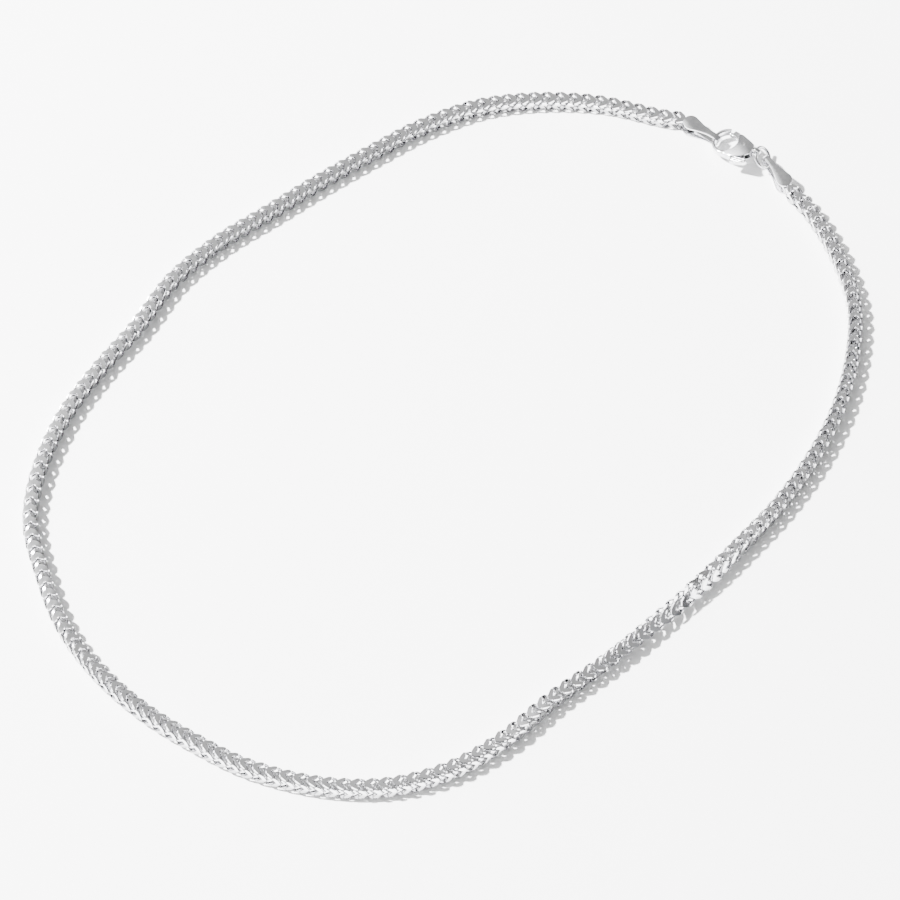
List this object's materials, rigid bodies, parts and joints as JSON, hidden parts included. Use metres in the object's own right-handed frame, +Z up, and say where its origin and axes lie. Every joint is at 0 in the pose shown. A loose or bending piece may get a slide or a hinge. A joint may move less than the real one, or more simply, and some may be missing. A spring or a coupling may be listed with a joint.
{
  "type": "franco chain necklace",
  "caption": "Square franco link chain of polished silver, closed with a lobster clasp and lying flat in a long loop.",
  "frame": {"origin": "bottom centre of the box round the whole necklace as it lies on a flat surface", "axes": "+X along the loop's length, towards the clasp's end; +Y across the loop, away from the viewer; +Z up"},
  "size_m": [0.1878, 0.1306, 0.0053],
  "materials": {
    "links": "diamond-cut and polished silver",
    "tags": "polished silver strip",
    "wire": "polished silver wire",
    "clasp": "cast and polished silver"
  },
  "bodies": {
    "necklace": {"chain": "links", "end_tag_left": "tags", "end_tag_right": "tags", "jump_ring": "wire", "clasp_body": "clasp", "lever_pin": "wire"},
    "lever": {"clasp_lever": "clasp"}
  },
  "joints": [
    {"name": "lever_hinge", "type": "hinge", "parent": "necklace", "child": "lever", "pos_m": [0.0899, 0.00884, 0.00349], "axis": [-0.0856, 0.2208, 0.9715], "range_deg": [0, 18], "stiffness_Nm_per_rad": 0.01}
  ]
}
